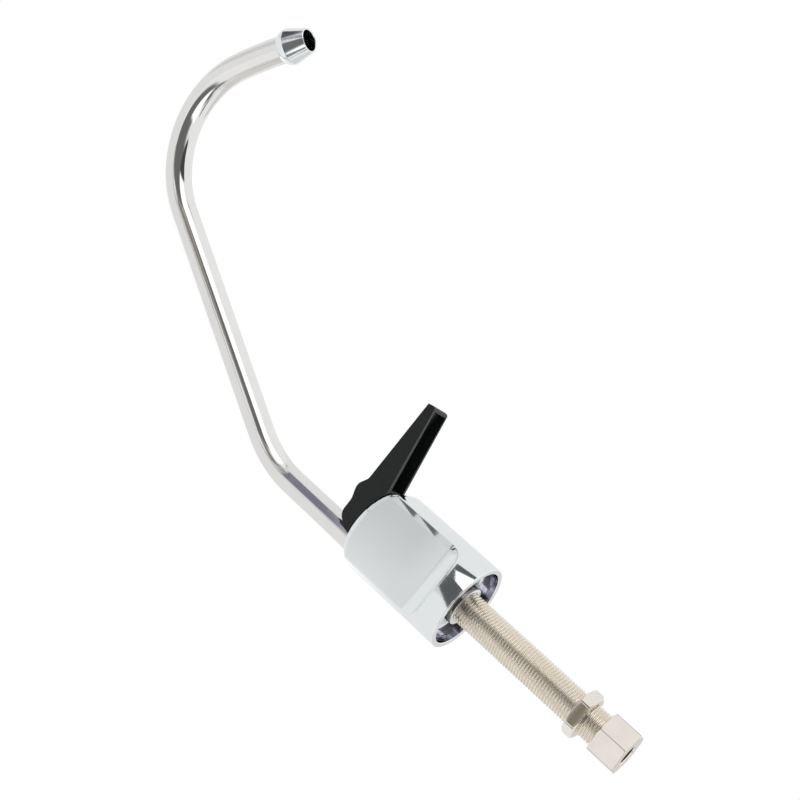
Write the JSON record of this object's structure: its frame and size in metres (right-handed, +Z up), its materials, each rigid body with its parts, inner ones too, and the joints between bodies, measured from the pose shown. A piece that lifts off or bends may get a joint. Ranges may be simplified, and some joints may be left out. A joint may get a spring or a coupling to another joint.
{
  "type": "drinking water filter tap",
  "caption": "Single-lever drinking water tap: round body with side flats, tall bent swivel spout, lift valve, threaded shank with locknut and compression nut.",
  "frame": {"origin": "centre of the base rim, in the plane that sits on the worktop, on the shank's axis", "axes": "+Z up along the shank and body, -Y to the front, where the lever points; +X to the tap's left seen from the front"},
  "size_m": [0.0512, 0.1328, 0.2615],
  "materials": {
    "chrome": "polished chrome plate",
    "nickel": "bright nickel plate on brass",
    "brass": "turned",
    "rubber": "smooth moulded",
    "steel": "drawn wire and turned",
    "white_plastic": "moulded",
    "black_plastic": "satin moulded"
  },
  "bodies": {
    "tap_body": {"body": "chrome", "shank": "nickel", "shank_collar": "chrome", "shank_seal": "rubber", "valve_seat": "brass", "return_spring": "steel", "stem_guide": "white_plastic", "stem_seal": "rubber", "spout_clip": "steel"},
    "stem": {"valve_stem": "brass", "stem_eye": "brass", "seat_washer": "rubber", "washer_screw": "steel"},
    "lever_arm": {"lever": "black_plastic", "lever_pin": "steel"},
    "spout": {"spout_tube": "chrome", "spout_foot": "brass", "spout_seal_lower": "rubber", "spout_seal_upper": "rubber", "nozzle": "chrome"},
    "lock_nut": {"locknut": "nickel"},
    "supply_nut": {"compression_nut": "nickel", "compression_sleeve": "brass"}
  },
  "joints": [
    {"name": "lever_press", "type": "hinge", "parent": "tap_body", "child": "lever_arm", "pos_m": [0, -0.0115, 0.0435], "axis": [1, 0, 0], "range_deg": [0, 7], "stiffness_Nm_per_rad": 0.3, "springref_deg": -17.19},
    {"name": "stem_lift", "type": "slide", "parent": "tap_body", "child": "stem", "axis": [0, 0, 1], "range_m": [0, 0.0014], "deforming": ["return_spring"]},
    {"name": "spout_swing", "type": "hinge", "parent": "tap_body", "child": "spout", "pos_m": [0, 0.00865, 0.045], "axis": [0, 0, 1], "continuous": true},
    {"name": "locknut_run", "type": "slide", "parent": "tap_body", "child": "lock_nut", "axis": [0, 0, 1], "range_m": [0, 0.04]},
    {"name": "supply_nut_run", "type": "slide", "parent": "tap_body", "child": "supply_nut", "axis": [0, 0, 1], "range_m": [-0.0043, 0]}
  ],
  "couplings": [
    {"joint": "stem_lift", "follows": "lever_press", "m_per_rad": 0.01113}
  ]
}
